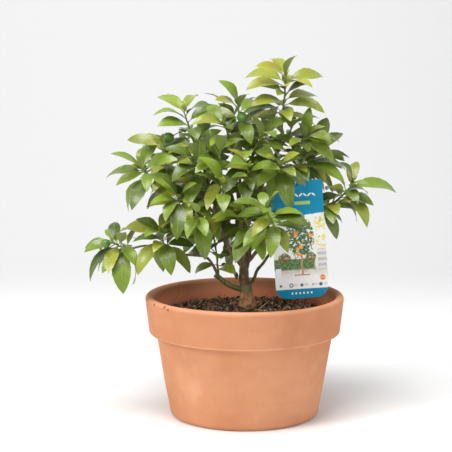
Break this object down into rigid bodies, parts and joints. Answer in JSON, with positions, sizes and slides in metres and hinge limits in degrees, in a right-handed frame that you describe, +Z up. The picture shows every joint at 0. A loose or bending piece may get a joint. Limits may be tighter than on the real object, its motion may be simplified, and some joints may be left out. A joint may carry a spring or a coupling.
{
  "type": "potted kumquat tree",
  "caption": "Small kumquat tree with glossy leaves and green fruits, growing in soil in a round terracotta pot, with a care tag hung on a string.",
  "frame": {"origin": "middle of the pot's flat underside", "axes": "+Z up along the pot's axis, -Y towards the front, where the tag shows"},
  "size_m": [0.4423, 0.3243, 0.5062],
  "materials": {
    "terracotta": "matte",
    "soil": "matte",
    "bark": "matte",
    "green_bark": "matte",
    "green_leaf": "satin",
    "young_leaf": "satin",
    "fruit_skin": "satin",
    "tag_card": "gloss",
    "string": "matte"
  },
  "bodies": {
    "root": {"terracotta_pot": "terracotta", "potting_soil": "soil", "trunk": "bark", "pruned_stub": "green_bark", "limb_left_low": "bark", "limb_left": "bark", "limb_left_middle": "bark", "limb_centre": "bark", "limb_leader": "bark", "limb_right_upper": "bark", "limb_front": "bark", "limb_right_low": "green_bark", "limb_back_left": "bark", "limb_back_right": "bark", "limb_back": "bark", "limb_back_low": "bark", "shoot_top": "young_leaf", "shoot_centre_top": "young_leaf", "shoot_left_top": "young_leaf", "shoot_left_outer": "green_leaf", "shoot_left_low": "green_leaf", "shoot_low_middle": "green_leaf", "shoot_twig_left": "young_leaf", "shoot_left_inner": "green_leaf", "shoot_hanging": "green_leaf", "shoot_centre_left": "green_leaf", "shoot_centre": "green_leaf", "shoot_right_top": "young_leaf", "shoot_right_upper": "green_leaf", "shoot_right": "green_leaf", "shoot_far_right": "green_leaf", "shoot_right_low": "green_leaf", "shoot_front": "young_leaf", "shoot_over_tag": "green_leaf", "shoot_front_left": "green_leaf", "shoot_front_high": "green_leaf", "shoot_front_low_left": "green_leaf", "shoot_front_middle": "green_leaf", "shoot_upper_middle": "green_leaf", "shoot_stub": "green_leaf", "shoot_left_rear": "green_leaf", "shoot_right_rear": "green_leaf", "shoot_back_left_end": "green_leaf", "shoot_back_left_side": "green_leaf", "shoot_back_left_high": "green_leaf", "shoot_back_left_low": "green_leaf", "shoot_back_right_end": "green_leaf", "shoot_back_right_side": "green_leaf", "shoot_back_right_low": "green_leaf", "shoot_back_top": "green_leaf", "shoot_back_middle": "green_leaf", "shoot_back_low_end": "green_leaf", "shoot_back_low_side": "green_leaf", "shoot_back_inner": "green_leaf", "fruit_upper_left": "fruit_skin", "fruit_top": "fruit_skin", "fruit_low_left": "fruit_skin", "fruit_young": "fruit_skin", "plant_tag": "tag_card", "tag_string": "string"}
  },
  "joints": []
}
